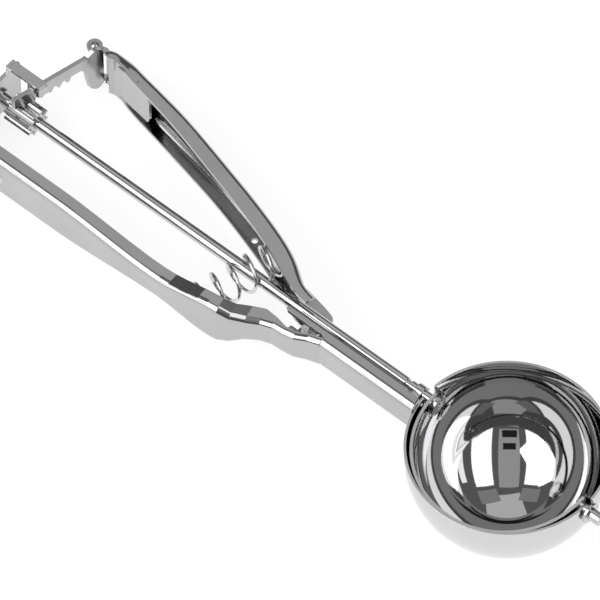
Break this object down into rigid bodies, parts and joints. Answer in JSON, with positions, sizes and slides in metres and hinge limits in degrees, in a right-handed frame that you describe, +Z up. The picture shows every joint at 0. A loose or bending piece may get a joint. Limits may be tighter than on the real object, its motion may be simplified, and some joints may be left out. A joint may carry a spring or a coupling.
{
  "type": "lever ice cream scoop",
  "caption": "Squeeze-handle scoop with a round bowl; the lever drives a rack and pinion that sweep a scraper blade round the bowl and a spring opens it again.",
  "frame": {"origin": "middle of the part's box in plan, on the surface that the scoop lies on", "axes": "+X from the handles to the bowl, +Y from the fixed handle to the squeeze lever, +Z up, away from the surface; the scoop lies on its bowl and on the rear bracket's lower edge, which leans its spindle 6.5 degrees"},
  "size_m": [0.2404, 0.0633, 0.0385],
  "materials": {
    "bowl_steel": "mirror polished stainless steel with fine spun lines",
    "handle_steel": "bright polished stainless sheet",
    "lever_steel": "polished stainless sheet, slightly duller than the fixed handle",
    "bracket_steel": "tumbled stainless sheet",
    "rack_steel": "stamped stainless with sheared edges",
    "gear_steel": "cut stainless teeth with burnished flanks",
    "spindle_steel": "drawn bright stainless rod",
    "blade_steel": "polished spring-hard stainless strip",
    "spring_steel": "bright drawn spring wire",
    "bush_steel": "turned stainless bush",
    "pin_steel": "turned stainless pin with riveted ends"
  },
  "bodies": {
    "frame": {"scoop_bowl": "bowl_steel", "neck_channel": "handle_steel", "front_spindle_bush": "bush_steel", "main_handle": "handle_steel", "rear_bracket": "bracket_steel", "bracket_rivets": "bracket_steel", "rear_spindle_bush": "bush_steel", "rack_guide": "bracket_steel", "pivot_pin": "pin_steel", "spring_seat_handle": "pin_steel", "return_spring": "spring_steel"},
    "lever": {"squeeze_lever": "lever_steel", "lever_liner": "lever_steel", "hinge_ear_upper": "lever_steel", "hinge_ear_lower": "lever_steel", "spring_seat_lever": "pin_steel", "rack_pin": "pin_steel", "rack_pin_washer": "pin_steel"},
    "rack": {"rack": "rack_steel"},
    "drive": {"spindle": "spindle_steel", "pinion": "gear_steel", "spindle_end_cap": "pin_steel", "scraper_blade": "blade_steel", "scraper_hub": "pin_steel", "front_pivot_pin": "pin_steel", "front_washer": "pin_steel"}
  },
  "joints": [
    {"name": "lever_squeeze", "type": "hinge", "parent": "frame", "child": "lever", "pos_m": [0.00964, -0.00565, 0.02256], "axis": [-0.1125, 0, 0.9936], "range_deg": [0, 5.9], "stiffness_Nm_per_rad": 3, "springref_deg": -14.32, "deforming": ["return_spring"]},
    {"name": "rack_swivel", "type": "hinge", "parent": "lever", "child": "rack", "pos_m": [-0.10245, 0.02775, 0.00987], "axis": [-0.1125, 0, 0.9936], "range_deg": [-6.2, 0.2]},
    {"name": "scraper_spin", "type": "hinge", "parent": "frame", "child": "drive", "pos_m": [-0.0152, -0.00065, 0.01975], "axis": [0.9936, 0, 0.1125], "range_deg": [0, 168.9]}
  ],
  "couplings": [
    {"joint": "rack_swivel", "follows": "lever_squeeze", "ratio": -1},
    {"joint": "scraper_spin", "follows": "lever_squeeze", "ratio": 28.58}
  ]
}
